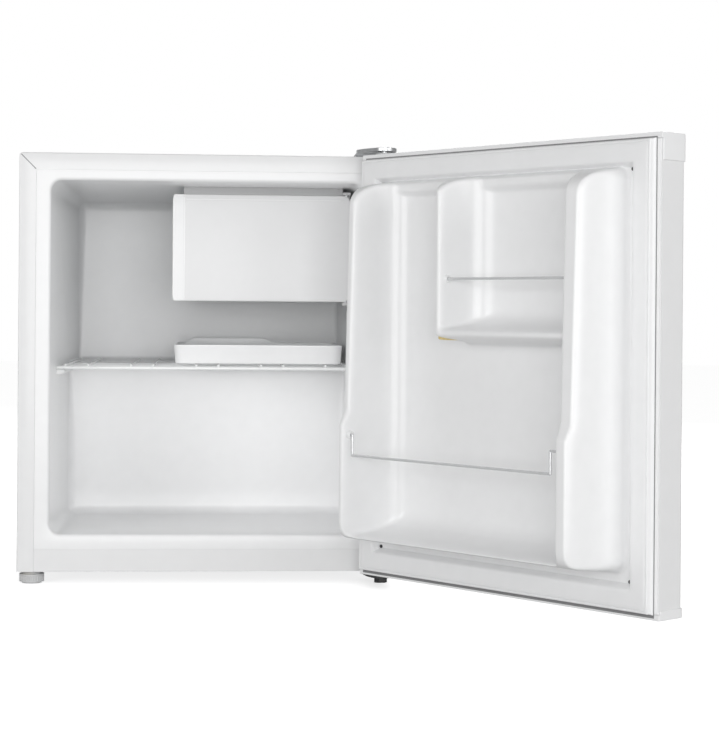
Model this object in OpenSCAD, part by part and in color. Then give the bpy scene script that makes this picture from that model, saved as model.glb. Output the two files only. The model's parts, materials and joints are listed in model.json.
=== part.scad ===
// Table-top refrigerator with an ice box, standing with its door open.
// +X is to the right seen from the front, +Y runs from the door into the cabinet, +Z is up.
// The origin is on the floor, in the middle of the left front foot. Modules are drawn about
// the middle of the cabinet's front, and from_foot() moves them over.
// Door parts are drawn in door coordinates: x from the hinge edge, y from the door's inner
// face towards the food, z from the door's lower edge. in_door() then swings them open.

/* [Cabinet] */
// Width of the cabinet and of the door
body_w = 440; // [400:1:540]
// Height of the cabinet without its feet
body_h = 490; // [450:1:620]
// Depth of the cabinet from its front face to the back panel
body_d = 388; // [370:1:480]
// Height of the feet under the cabinet
foot_h = 15; // [14:1:24]
// Thickness of the steel sheets
sheet_t = 1; // [0.6:0.1:1.4]
// Outer bend radius of the shell's top corners
shell_r = 4; // [2:0.5:8]
// Width of the steel flange round the mouth
flange_w = 20; // [14:0.5:24]
// Height of the steel strip under the mouth
rail_h = 26.5; // [20:0.5:34]

/* [Liner] */
// Insulated thickness of each side
side_wall = 36; // [30:0.5:44]
// Insulated thickness of the top
top_wall = 31; // [26:0.5:40]
// Insulated thickness of the floor
floor_wall = 43; // [38:0.5:52]
// Insulated thickness of the back
rear_wall = 42; // [34:0.5:52]
// Plastic sheet of the liner
liner_t = 2; // [1.2:0.1:3]
// How far each liner wall leans in from the mouth to the back
liner_draft = 8; // [4:0.5:10]
// Corner radius of the mouth
mouth_r = 14; // [8:0.5:20]
// Corner radius at the back of the cavity
cavity_r = 12; // [8:0.5:18]
// Height of the compressor hump above the cabinet's underside
hump_h = 238; // [210:1:250]
// Depth of the cavity in front of the hump
hump_y = 225; // [200:1:240]
// Insulation between the hump and the compressor bay
hump_wall = 34; // [26:1:36]

/* [Shelf and tray] */
// Radius of the shelf's cross wires
cross_wire_r = 2; // [1.5:0.1:2.5]
// Radius of the shelf's depth wires
depth_wire_r = 1.5; // [1:0.1:2]
// Number of pairs of depth wires
wire_pairs = 5; // [3:1:5]
// Distance from one pair to the next
pair_pitch = 78.5; // [60:0.5:79]
// Distance between the two wires of a pair
pair_gap = 27; // [18:0.5:32]
// Width of the drip tray
tray_w = 206; // [170:1:220]
// Depth of the drip tray
tray_d = 205; // [160:1:220]
// Height of the drip tray
tray_h = 23; // [16:0.5:30]
// Clearance under parts that rest or slide on another
rest_gap = 0.3; // [0.2:0.05:0.5]

/* [Ice box] */
// Width of the ice box flap
flap_w = 215; // [190:1:230]
// Height of the ice box flap
flap_h = 129; // [110:1:140]
// Thickness of the ice box flap
flap_t = 10; // [8:0.5:12]
// Distance of the flap's face behind the cabinet's front
flap_y = 62; // [58:0.5:75]
// Distance of the flap's right edge from the cabinet's middle
flap_right = 172; // [165:0.5:173]
// Width of the grip along the flap's left edge
grip_w = 16; // [12:0.5:20]
// Depth of the freezer box behind its frame
freezer_d = 245; // [200:1:250]

/* [Door] */
// Height of the door
door_h = 488; // [448:1:618]
// Thickness of the door
door_t = 39; // [34:0.5:48]
// Gap between the closed door and the cabinet, filled by the gasket
seal_gap = 10; // [8:0.5:12]
// Angle at which the door stands
door_open = 128; // [95:1:132]
// Distance of the hinge axis from the door's edge
pin_inset = 15; // [12:0.5:18]
// Radius of the hinge pins
pin_r = 4; // [3:0.5:5]
// Running clearance round a pin
pin_fit = 0.06; // [0.03:0.01:0.09]
// Height of the plastic caps along the door's ends
cap_h = 6; // [4:0.5:10]
// How far the caps stand proud of the steel
cap_proud = 1.5; // [0.6:0.1:1.6]
// Width of the gasket
gasket_w = 29; // [24:0.5:30]

/* [Door liner] */
// Height of the dykes above the gasket plane, at their top
dyke_up = 66; // [60:1:67]
// Height of the dykes above the step
dyke_mid = 72; // [66:1:72]
// Height of the dykes below the step
dyke_low = 80; // [74:1:84]
// Height at which the dykes step out
dyke_step = 188; // [166:1:200]
// Height of the liner's back wall above the gasket plane
recess_h = 8; // [6:0.5:10]
// Place of the upper pocket's left wall
pocket_u = 189; // [180:1:200]
// Height of the upper pocket's floor
pocket_z = 288; // [270:1:300]
// Radius of the door's rail wires
rail_r = 1.4; // [1.2:0.1:2]

/* [Hidden] */
$fn = 48;
EPS = 0.01;
// wires sink this far into each other where they are welded
weld = 0.3;

half_w = body_w / 2;
base_z = foot_h;
top_z = base_z + body_h;
mouth_half = half_w - side_wall;
mouth_bottom = base_z + floor_wall;
mouth_top = top_z - top_wall;
cavity_d = body_d - rear_wall;
hump_z = base_z + hump_h;
bay_y = hump_y + hump_wall;
bay_top = hump_z - hump_wall;

white = [0.94, 0.94, 0.93];
liner_white = [0.93, 0.94, 0.94];
foam_yellow = [0.9, 0.82, 0.55];
zinc = [0.72, 0.72, 0.73];
grey = [0.66, 0.67, 0.68];
black = [0.1, 0.1, 0.11];
copper = [0.75, 0.45, 0.3];

// inner face of a side wall and of the ceiling at a depth y
function wall_x(y) = mouth_half - liner_draft * y / cavity_d;
function ceiling_z(y) = mouth_top - liner_draft * y / cavity_d;
function arc(cx, cy, r, from, to, steps) =
    [for (k = [0 : steps]) let (a = from + (to - from) * k / steps)
        [cx + r * cos(a), cy + r * sin(a)]];

// ---- helpers ----

// moves children from the middle of the cabinet's front to the foot at the origin
module from_foot() {
    translate([foot_x, -foot_y, 0]) children();
}

// extrudes an outline drawn in x and z from y0 to y1
module along_y(y0, y1) {
    translate([0, y1, 0]) rotate([90, 0, 0]) linear_extrude(y1 - y0) children();
}

// extrudes an outline drawn in y and z from x0 to x1
module along_x(x0, x1) {
    translate([x0, 0, 0]) rotate([90, 0, 90]) linear_extrude(x1 - x0) children();
}

// rectangle with rounded corners between two corner points
module round_rect(low, high, r) {
    translate([low.x + r, low.y]) square([high.x - low.x - 2 * r, high.y - low.y]);
    translate([low.x, low.y + r]) square([high.x - low.x, high.y - low.y - 2 * r]);
    for (x = [low.x + r, high.x - r], y = [low.y + r, high.y - r])
        translate([x, y]) circle(r = r);
}

module box(low, high) {
    translate(low) cube(high - low);
}

// round bar between two points
module rod(a, b, r) {
    d = b - a;
    translate(a) rotate([0, acos(d.z / norm(d)), atan2(d.y, d.x)]) cylinder(h = norm(d), r = r);
}

// round bar through a list of points, with ball corners
module bar(points, r) {
    for (k = [0 : len(points) - 2]) rod(points[k], points[k + 1], r);
    for (k = [1 : len(points) - 2]) translate(points[k]) sphere(r = r);
}

// ---- cabinet ----

// outline of the shell, moved in by inset, with its open foot at z0
module shell_outline(inset, z0) {
    w = half_w - inset;
    z1 = top_z - inset;
    r = shell_r - inset;
    translate([-w, z0]) square([2 * w, z1 - r - z0]);
    translate([-w + r, z0]) square([2 * (w - r), z1 - z0]);
    for (s = [-1, 1]) translate([s * (w - r), z1 - r]) circle(r = r);
}

module outer_shell() {
    from_foot() color(white) {
        difference() {
            along_y(0, body_d) difference() {
                shell_outline(0, base_z);
                shell_outline(sheet_t, base_z - 1);
            }
            top_screw_holes();
        }
        along_y(0, sheet_t) difference() {
            shell_outline(0, base_z);
            translate([-half_w + flange_w, base_z - 1])
                square([body_w - 2 * flange_w, body_h - flange_w + 1]);
        }
    }
}

rail_return = 14;
module front_rail() {
    x = half_w - flange_w;
    from_foot() color(white) {
        box([-x, 0, base_z], [x, sheet_t, base_z + rail_h]);
        box([-x, 0, base_z], [x, rail_return, base_z + sheet_t]);
    }
}

module bottom_plate() {
    x = half_w - sheet_t;
    from_foot() color(zinc) difference() {
        box([-x, rail_return, base_z], [x, bay_y, base_z + sheet_t]);
        foot_holes();
        low_screw_holes();
    }
}

module bay_panel() {
    x = half_w - sheet_t;
    from_foot() color(zinc) difference() {
        union() {
            box([-x, bay_y, base_z], [x, bay_y + sheet_t, bay_top]);
            box([-x, bay_y, bay_top - sheet_t], [x, body_d, bay_top]);
        }
        for (p = [suction_top, capillary_top])
            translate([p.x, p.y, bay_top - 5]) cylinder(h = 10, r = line_hole_r);
    }
}

module back_panel() {
    from_foot() color(zinc) along_y(body_d - sheet_t, body_d) shell_outline(sheet_t, bay_top);
}

pan_t = 2;
module base_pan() {
    x = half_w - sheet_t;
    from_foot() color(zinc) difference() {
        box([-x, bay_y + sheet_t, base_z], [x, body_d, base_z + pan_t]);
        for (p = mount_points)
            translate([p.x, p.y, base_z - 1]) cylinder(h = pan_t + 2, r = mount_bolt_r);
        for (s = [-1, 1]) translate([s * rear_foot_x, rear_foot_y, base_z - 1])
            cylinder(h = pan_t + 2, r = rear_stub_r);
    }
}

// mouth outline between two heights, with rounded corners at one end
module mouth_outline(grow, z0, z1, round_top) {
    x = mouth_half + grow;
    r = mouth_r + grow;
    zc = round_top ? z1 - r : z0 + r;
    translate([-x, round_top ? z0 : zc]) square([2 * x, z1 - z0 - r]);
    translate([-x + r, z0]) square([2 * (x - r), z1 - z0]);
    for (s = [-1, 1]) translate([s * (x - r), zc]) circle(r = r);
}

ledge_r = 5;
merge_h = 12;
module upper_cavity(grow) {
    y0 = grow > 0 ? 0 : -1;
    hull() {
        along_y(y0, y0 + 1) mouth_outline(grow, hump_z - grow, mouth_top + grow, true);
        for (s = [-1, 1]) {
            translate([s * (wall_x(cavity_d) - cavity_r), cavity_d - cavity_r,
                       ceiling_z(cavity_d) - cavity_r]) sphere(r = cavity_r + grow, $fn = 32);
            translate([s * (wall_x(cavity_d) - ledge_r), cavity_d - ledge_r, hump_z + ledge_r])
                sphere(r = ledge_r + grow, $fn = 32);
        }
    }
}

module lower_cavity(grow) {
    y0 = grow > 0 ? 0 : -1;
    hull() {
        along_y(y0, y0 + 1)
            mouth_outline(grow, mouth_bottom - grow, hump_z + merge_h, false);
        for (s = [-1, 1])
            translate([s * (wall_x(hump_y) - cavity_r), hump_y - cavity_r, 0]) {
                translate([0, 0, mouth_bottom + cavity_r])
                    sphere(r = cavity_r + grow, $fn = 32);
                translate([0, 0, hump_z])
                    cylinder(h = merge_h, r = cavity_r + grow, $fn = 32);
            }
    }
}

module cavity(grow) {
    upper_cavity(grow);
    lower_cavity(grow);
}

// ledges that carry the shelf's cross wires
rib_front = dyke_mid - seal_gap + 5;
rib_w = 12;
rib_t = 9;
rib_x = wall_x(0) - rib_w;
rib_top = hump_z - 2 * cross_wire_r + weld;
module shelf_ribs() {
    intersection() {
        for (s = [0, 1]) mirror([s, 0, 0])
            translate([rib_x, rib_front, rib_top - rib_t])
                cube([rib_w + liner_t, hump_y, rib_t]);
        lower_cavity(liner_t / 2);
    }
}

module liner_flange() {
    x = half_w - flange_w;
    box([-x, 0, base_z + rail_h], [x, liner_t, top_z - flange_w]);
}

module liner_body() {
    difference() {
        union() {
            liner_flange();
            cavity(liner_t);
        }
        cavity(0);
    }
}

module inner_liner() {
    from_foot() color(liner_white) {
        liner_body();
        shelf_ribs();
    }
}

module cabinet_foam() {
    from_foot() color(foam_yellow) difference() {
        along_y(sheet_t, body_d - sheet_t) shell_outline(sheet_t, base_z + sheet_t);
        box([-half_w, bay_y, 0], [half_w, body_d + 1, bay_top]);
        box([-half_w + flange_w, 0, base_z], [half_w - flange_w, liner_t, top_z - flange_w]);
        cavity(liner_t);
        for (p = [suction_top, capillary_top])
            translate([p.x, p.y, bay_top - 1]) cylinder(h = line_rise + 1, r = line_hole_r);
        foot_holes();
        top_screw_holes();
        low_screw_holes();
    }
}

// ---- feet ----

foot_x = half_w - 16;
foot_y = 20;
foot_r = 14.5;
foot_pad_h = 11;
stud_r = 4;
stud_rise = 12;
right_foot_x = half_w - 14;
right_foot_y = 12;
right_foot_r = 6;
right_stud_r = 3;
rear_foot_x = half_w - 30;
rear_foot_y = body_d - 22;
rear_foot_r = 12;
rear_stub_r = 5;
flute_count = 24;

module foot_holes() {
    translate([-foot_x, foot_y, base_z - 1]) cylinder(h = stud_rise + 2, r = stud_r + pin_fit);
    translate([right_foot_x, right_foot_y, base_z - 1])
        cylinder(h = stud_rise + 2, r = right_stud_r + pin_fit);
}

module front_left_foot() {
    from_foot() color(grey) translate([-foot_x, foot_y, 0]) {
        difference() {
            union() {
                cylinder(h = 2, r = foot_r - 3);
                translate([0, 0, 2]) cylinder(h = foot_pad_h - 2, r = foot_r);
            }
            for (k = [0 : flute_count - 1]) rotate([0, 0, k * 360 / flute_count])
                translate([foot_r + 0.4, 0, 3]) cylinder(h = foot_pad_h - 5, r = 1.2, $fn = 16);
        }
        translate([0, 0, foot_pad_h])
            cylinder(h = foot_h - foot_pad_h - rest_gap, r = foot_r - 4);
        cylinder(h = foot_h + stud_rise, r = stud_r);
    }
}

module front_right_foot() {
    from_foot() color(black) translate([right_foot_x, right_foot_y, 0]) {
        cylinder(h = 6, r = right_foot_r);
        cylinder(h = foot_h + stud_rise, r = right_stud_r);
    }
}

module rear_feet() {
    from_foot() color(black) for (s = [-1, 1]) translate([s * rear_foot_x, rear_foot_y, 0]) {
        cylinder(h = foot_h, r = rear_foot_r);
        cylinder(h = foot_h + pan_t, r = rear_stub_r);
    }
}

// ---- ice box ----

flap_left = flap_right - flap_w;
flap_z0 = mouth_top - 141;
flap_z1 = flap_z0 + flap_h;
flap_back = flap_y + flap_t;
frame_t = 8;
flap_r = 9;
frame_y = flap_back + 0.5;
frame_w = 10;
freezer_y = frame_y + frame_t;
freezer_t = 1.6;
flap_pin_r = 2;
flap_pin_x = flap_right - 5;
flap_pin_y = flap_y + flap_t / 2;
flap_pin_depth = 9;
lug_h = 3.5;
lug_w = 9;
lug_gap = 0.6;
hanger_w = 6;
// the freezer's own corners, inside the frame
box_low = [flap_left + 5, flap_z0 + 5];
box_high = [flap_right - 6, flap_z1 - 5];

channel_y = freezer_y + 25;
channel_pitch = 32;
channel_r = 2.4;
channels = floor((freezer_d - 45) / channel_pitch) + 1;
module freezer_box() {
    y1 = freezer_y + freezer_d;
    from_foot() color([0.8, 0.82, 0.83]) {
        difference() {
            along_y(freezer_y, y1) round_rect(box_low, box_high, 8);
            along_y(freezer_y - 1, y1 - freezer_t)
                round_rect(box_low + [1, 1] * freezer_t, box_high - [1, 1] * freezer_t,
                           8 - freezer_t);
        }
        // refrigerant channels blown into the roof and the floor
        for (k = [0 : channels - 1], z = [box_low.y + 0.4, box_high.y - 0.4]) {
            y = channel_y + k * channel_pitch;
            rod([box_low.x + 12, y, z], [box_high.x - 12, y, z], channel_r);
        }
    }
}

hanger_x = [flap_left + 18, flap_right - 24];
module freezer_hangers() {
    from_foot() color(white) for (x = hanger_x, k = [0, channels - 2]) {
        y = channel_y + k * channel_pitch + 10;
        along_x(x, x + hanger_w) polygon([
            [y, box_high.y], [y + 12, box_high.y],
            [y + 12, ceiling_z(y + 12) - rest_gap], [y, ceiling_z(y) - rest_gap]]);
    }
}

module freezer_frame() {
    from_foot() color(white) difference() {
        union() {
            along_y(frame_y, freezer_y) difference() {
                round_rect([flap_left, flap_z0], [flap_right, flap_z1], flap_r);
                round_rect([flap_left + frame_w, flap_z0 + frame_w],
                           [flap_right - frame_w, flap_z1 - frame_w], 5);
            }
            // hinge lugs above and below the flap
            for (z = [flap_z0 - lug_gap - lug_h, flap_z1 + lug_gap])
                box([flap_right - lug_w, flap_pin_y - flap_pin_r - 1.5, z],
                    [flap_right, freezer_y, z + lug_h]);
            for (z = [flap_z0 - lug_gap - lug_h, flap_z1 - 6])
                box([flap_right - lug_w, frame_y, z],
                    [flap_right, freezer_y, z + lug_gap + lug_h + 6]);
            // plate that closes the gap up to the ceiling
            box([flap_left + grip_w - 3, frame_y, flap_z1 - flap_r],
                [flap_right - lug_w, freezer_y, ceiling_z(freezer_y) - rest_gap]);
        }
        translate([flap_pin_x, flap_pin_y, flap_z0 - 20])
            cylinder(h = flap_h + 40, r = flap_pin_r);
    }
}

module freezer_flap() {
    from_foot() color(white) difference() {
        union() {
            intersection() {
                along_y(flap_y, flap_back)
                    round_rect([flap_left + grip_w - 4, flap_z0], [flap_right, flap_z1], flap_r);
                // the hinge edge is round about the pin, so it turns clear of the frame
                union() {
                    box([flap_left, flap_y - 1, flap_z0 - 1],
                        [flap_pin_x, flap_back + 1, flap_z1 + 1]);
                    translate([flap_pin_x, flap_pin_y, flap_z0 - 1])
                        cylinder(h = flap_h + 2, r = flap_t / 2);
                }
            }
            // grip: a thin lip that fingers reach behind
            along_y(flap_y, flap_y + 3.5)
                round_rect([flap_left, flap_z0], [flap_left + grip_w + 6, flap_z1], 1.5);
        }
        for (z = [flap_z0 - 1, flap_z1 - flap_pin_depth])
            translate([flap_pin_x, flap_pin_y, z])
                cylinder(h = flap_pin_depth + 1, r = flap_pin_r + pin_fit);
    }
}

module flap_pins() {
    from_foot() color(zinc) for (z = [flap_z0 - lug_gap - lug_h, flap_z1 - flap_pin_depth + 1.5])
        translate([flap_pin_x, flap_pin_y, z])
            cylinder(h = lug_h + lug_gap + flap_pin_depth - 1.5, r = flap_pin_r);
}

// ---- thermostat ----

stat_y = 100;
stat_z = flap_z0 - 21;
stat_half = 22;
stat_half_h = 14;
stat_x = wall_x(stat_y) - 6;
knob_r = 11;
knob_t = 5;
spindle_r = 3;
module thermostat_housing() {
    from_foot() color(white) {
        translate([0, 0, stat_z - stat_half_h]) linear_extrude(2 * stat_half_h)
            polygon([[stat_x, stat_y - stat_half], [stat_x, stat_y + stat_half],
                     [wall_x(stat_y + stat_half) - rest_gap, stat_y + stat_half],
                     [wall_x(stat_y - stat_half) - rest_gap, stat_y - stat_half]]);
        rod([stat_x + 1, stat_y, stat_z], [stat_x - 4, stat_y, stat_z], spindle_r);
    }
}

module thermostat_knob() {
    from_foot() color(grey) difference() {
        union() {
            rod([stat_x - 0.3, stat_y, stat_z], [stat_x - 3, stat_y, stat_z], knob_r);
            box([stat_x - knob_t, stat_y - 2.5, stat_z - knob_r + 1],
                [stat_x - 2, stat_y + 2.5, stat_z + knob_r - 1]);
        }
        rod([stat_x + 1, stat_y, stat_z], [stat_x - 4.5, stat_y, stat_z], spindle_r + pin_fit);
    }
}

// ---- shelf and tray ----

shelf_front = 67;
shelf_back = cavity_d - 16;
cross_end_gap = 3;
depth_wire_z = hump_z + rest_gap + depth_wire_r;
cross_wire_z = depth_wire_z - depth_wire_r - cross_wire_r + weld;
cross_wires = [shelf_front, 140, hump_y - 10];
module wire_shelf() {
    from_foot() color([0.95, 0.95, 0.95]) {
        for (y = cross_wires) {
            x = wall_x(y) - cross_end_gap;
            rod([-x, y, cross_wire_z], [x, y, cross_wire_z], cross_wire_r);
            for (s = [-1, 1]) translate([s * x, y, cross_wire_z]) sphere(r = cross_wire_r);
        }
        for (k = [0 : wire_pairs - 1], s = [-1, 1]) {
            x = (k - (wire_pairs - 1) / 2) * pair_pitch + s * pair_gap / 2;
            rod([x, shelf_front - 1, depth_wire_z], [x, shelf_back, depth_wire_z], depth_wire_r);
            for (y = [shelf_front - 1, shelf_back])
                translate([x, y, depth_wire_z]) sphere(r = depth_wire_r);
        }
    }
}

tray_left = -41;
tray_y = 80;
tray_z = depth_wire_z + depth_wire_r + rest_gap;
tray_t = 2;
tray_r = 14;
tray_rim = 6;
module drip_tray() {
    low = [tray_left, tray_y];
    high = [tray_left + tray_w, tray_y + tray_d];
    from_foot() color(liner_white) {
        difference() {
            translate([0, 0, tray_z]) linear_extrude(tray_h) round_rect(low, high, tray_r);
            translate([0, 0, tray_z + tray_t]) linear_extrude(tray_h)
                round_rect(low + [1, 1] * tray_t, high - [1, 1] * tray_t, tray_r - tray_t);
        }
        // raised middle of the back rim
        box([low.x + tray_r, high.y - tray_t, tray_z + tray_h - 1],
            [low.x + tray_w * 0.6, high.y, tray_z + tray_h + tray_rim]);
    }
}

// ---- cooling system ----

comp_x = 60;
comp_r = 54;
comp_y = (bay_y + body_d) / 2;
mount_dx = 66;
mount_dy = 34;
mount_r = 10;
mount_h = 13;
comp_z = base_z + pan_t + mount_h;
comp_h = min(138, bay_top - comp_z - 14);
mount_bolt_r = 3;
comp_foot_t = 3;
mount_points = [for (sx = [-1, 1], sy = [-1, 1]) [comp_x + sx * mount_dx, comp_y + sy * mount_dy]];

module compressor() {
    rim = comp_h / 2;
    dome = 30;
    from_foot() color(black) {
        translate([comp_x, comp_y, comp_z]) {
            rotate_extrude() polygon(concat(
                [[0, 0]],
                [for (a = [-80 : 20 : 0]) [comp_r * cos(a), dome + dome * sin(a)]],
                [[comp_r, rim - 3], [comp_r + 3, rim - 3], [comp_r + 3, rim + 1],
                 [comp_r - 1, rim + 1]],
                [for (a = [0 : 20 : 80])
                    [(comp_r - 1) * cos(a), comp_h - dome + dome * sin(a)]],
                [[0, comp_h]]));
        }
        difference() {
            box([comp_x - mount_dx - 12, comp_y - mount_dy - 12, comp_z],
                [comp_x + mount_dx + 12, comp_y + mount_dy + 12, comp_z + comp_foot_t]);
            for (p = mount_points) translate([p.x, p.y, comp_z - 1])
                cylinder(h = comp_foot_t + 2, r = mount_bolt_r);
        }
    }
}

module compressor_mounts() {
    from_foot() color([0.2, 0.2, 0.2]) for (p = mount_points) translate([p.x, p.y, base_z + pan_t])
        difference() {
            union() {
                cylinder(h = mount_h, r = mount_r - 2);
                cylinder(h = 4, r = mount_r);
                translate([0, 0, mount_h - 3]) cylinder(h = 3, r = mount_r);
            }
            translate([0, 0, -1]) cylinder(h = mount_h + 2, r = mount_bolt_r);
        }
}

module compressor_bolts() {
    from_foot() color(zinc) for (p = mount_points) translate([p.x, p.y, 0]) {
        translate([0, 0, base_z - 3]) cylinder(h = 3, r = 6, $fn = 6);
        translate([0, 0, base_z - 1])
            cylinder(h = pan_t + mount_h + comp_foot_t + 7, r = mount_bolt_r);
        translate([0, 0, comp_z + comp_foot_t]) cylinder(h = 4, r = 5.5, $fn = 6);
    }
}

cover_w = 34;
cover_h = 62;
cover_z = comp_z + 24;
cover_x = comp_x - comp_r;
module terminal_cover() {
    from_foot() color(black) difference() {
        box([cover_x - cover_w + 12, comp_y - 26, cover_z],
            [cover_x + 16, comp_y + 26, cover_z + cover_h]);
        translate([comp_x, comp_y, 0]) cylinder(h = bay_top, r = comp_r + 3 + EPS);
    }
}

inlet_y = comp_y + 12;
module cord_inlet() {
    x = cover_x - cover_w + 12;
    from_foot() color(black) difference() {
        union() {
            rod([x, inlet_y, cover_z + 14], [x - 10, inlet_y, cover_z + 14], 7);
            rod([x, inlet_y, cover_z + 14], [x - 4, inlet_y, cover_z + 14], 9);
        }
        rod([x + 1, inlet_y, cover_z + 14], [x - 11, inlet_y, cover_z + 14], 3.8);
    }
}

tube_r = 2.4;
wire_r = 0.8;
cond_y = body_d + 17;
cond_half = half_w - 50;
cond_z0 = bay_top + 22;
cond_pitch = 28;
cond_passes = 9;
cond_z1 = cond_z0 + cond_pitch * (cond_passes - 1);
wire_pitch = 12;

module u_bend(x, z, side) {
    translate([x, cond_y, z]) rotate([90, 0, 0]) rotate([0, 0, side > 0 ? -90 : 90])
        rotate_extrude(angle = 180) translate([cond_pitch / 2, 0]) circle(r = tube_r, $fn = 24);
}

module condenser_tube() {
    from_foot() color(black) {
        for (k = [0 : cond_passes - 1])
            rod([-cond_half, cond_y, cond_z0 + k * cond_pitch],
                [cond_half, cond_y, cond_z0 + k * cond_pitch], tube_r);
        for (k = [0 : cond_passes - 2]) {
            side = k % 2 == 0 ? 1 : -1;
            u_bend(side * cond_half, cond_z0 + (k + 0.5) * cond_pitch, side);
        }
        // riser down from the last pass to the drier
        bar([[cond_half, cond_y, cond_z1], [cond_half + 22, cond_y, cond_z1],
             [cond_half + 22, cond_y, drier_z + 40 + 3 * tube_r]], tube_r);
    }
}

module condenser_wires() {
    n = floor((cond_half - 8) / wire_pitch);
    from_foot() color(black) for (k = [-n : n], s = [-1, 1])
        translate([k * wire_pitch, cond_y + s * (tube_r + wire_r + 0.1), cond_z0 - 8])
            cylinder(h = cond_z1 - cond_z0 + 16, r = wire_r, $fn = 16);
}

clip_x = cond_half - 40;
module condenser_clips() {
    clip_h = 9;
    from_foot() color([0.3, 0.3, 0.3]) difference() {
        for (s = [-1, 1], k = [0, cond_passes - 1])
            box([s * clip_x - 5, body_d, cond_z0 + k * cond_pitch - clip_h / 2],
                [s * clip_x + 5, cond_y + tube_r + 1.5, cond_z0 + k * cond_pitch + clip_h / 2]);
        for (k = [0, cond_passes - 1]) {
            z = cond_z0 + k * cond_pitch;
            rod([-cond_half, cond_y, z], [cond_half, cond_y, z], tube_r);
        }
        // slots for the upright wires
        for (s = [-1, 1], w = [-1 : 1], t = [-1, 1])
            translate([s * clip_x_wire + w * wire_pitch, cond_y + t * (tube_r + wire_r), 0])
                cylinder(h = top_z, r = wire_r + 0.6, $fn = 16);
    }
}
clip_x_wire = round(clip_x / wire_pitch) * wire_pitch;

drier_x = cond_half + 22;
drier_z = base_z + 70;
drier_y = cond_y;
module filter_drier() {
    from_foot() color(copper) translate([drier_x, drier_y, drier_z]) {
        translate([0, 0, 0]) cylinder(h = 40, r = 9);
        translate([0, 0, 40]) cylinder(h = 3 * tube_r, r1 = 9, r2 = tube_r);
        translate([0, 0, -2 * tube_r]) cylinder(h = 2 * tube_r, r1 = 2, r2 = 9);
    }
}

line_hole_r = 6;
line_rise = 20;
suction_r = 4;
capillary_r = 1.5;
suction_top = [comp_x + 90, body_d - 24];
capillary_top = [drier_x - 30, body_d - 16];
line_z = comp_z + comp_h * 0.62;

// upper half of the compressor's shell, which the two lines end on
module comp_shell() {
    translate([comp_x, comp_y, comp_z + comp_h / 2])
        cylinder(h = comp_h / 2, r = comp_r - 1 + EPS);
}

module discharge_line() {
    from_foot() color(copper) difference() {
        bar([[comp_x - comp_r * 0.7, comp_y + comp_r * 0.66, line_z],
             [comp_x - comp_r * 0.7, cond_y, line_z],
             [-cond_half - 12, cond_y, line_z],
             [-cond_half - 12, cond_y, cond_z0],
             [-cond_half, cond_y, cond_z0]], tube_r);
        comp_shell();
    }
}

module suction_line() {
    from_foot() color(copper) difference() {
        bar([[comp_x + comp_r - 10, comp_y + 10, line_z],
             [suction_top.x, comp_y + 10, line_z],
             [suction_top.x, suction_top.y, line_z],
             [suction_top.x, suction_top.y, bay_top + line_rise - 2]], suction_r);
        comp_shell();
    }
}

module capillary_line() {
    z = drier_z - 2 * tube_r;
    from_foot() color(copper) bar([[drier_x, drier_y, z], [drier_x, drier_y, z - 14],
                       [capillary_top.x, drier_y, z - 14],
                       [capillary_top.x, capillary_top.y, z - 14],
                       [capillary_top.x, capillary_top.y, bay_top + line_rise - 2]], capillary_r);
}

// ---- hinges ----

pin_x = half_w - pin_inset;
pin_y = -seal_gap - door_t / 2;
door_z0 = base_z + (body_h - door_h) / 2;
door_z1 = door_z0 + door_h;
bracket_w = 46;
bracket_t = 4;
bracket_back = 44;
arm_rise = 3.6;
hinge_screw_r = 2;
hinge_screws = [[half_w - bracket_w + 10, 12], [half_w - 12, 12], [half_w - bracket_w / 2, 34]];

module top_hinge() {
    x0 = half_w - bracket_w;
    x1 = half_w - 1;
    from_foot() color(zinc) difference() {
        union() {
            along_x(x0, x1) polygon([
                [2, top_z], [bracket_back, top_z], [bracket_back, top_z + bracket_t],
                [5, top_z + bracket_t], [-2, top_z + bracket_t + arm_rise],
                [-4, top_z + bracket_t + arm_rise], [-4, top_z + arm_rise],
                [-3, top_z + arm_rise]]);
            translate([0, 0, top_z + arm_rise]) linear_extrude(bracket_t)
                polygon(concat([[x1, -3], [x0, -3], [x0 + 8, pin_y + 8]],
                    arc(pin_x, pin_y, half_w - 1 - pin_x, 200, 360, 8)));
        }
        translate([pin_x, pin_y, top_z]) cylinder(h = 20, r = pin_r);
        for (p = hinge_screws) translate([p.x, p.y, top_z - 1]) cylinder(h = 20, r = hinge_screw_r);
    }
}

bush_flange = 2.5;
bush_depth = 14;
top_pin_end = door_z1 - bush_depth + 3;
module top_hinge_pin() {
    arm_top = top_z + arm_rise + bracket_t;
    from_foot() color(zinc) translate([pin_x, pin_y, 0]) {
        translate([0, 0, top_pin_end]) cylinder(h = arm_top - top_pin_end, r = pin_r);
        translate([0, 0, arm_top]) cylinder(h = 1.2, r = pin_r + 2);
    }
}

hinge_screw_l = 12;
module top_screw_holes() {
    for (p = hinge_screws) translate([p.x, p.y, top_z + bracket_t - hinge_screw_l])
        cylinder(h = hinge_screw_l, r = hinge_screw_r);
}

module top_hinge_screws() {
    from_foot() color(zinc) {
        top_screw_holes();
        for (p = hinge_screws) translate([p.x, p.y, top_z + bracket_t])
            cylinder(h = 2, r1 = 4, r2 = 3.4);
    }
}

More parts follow.
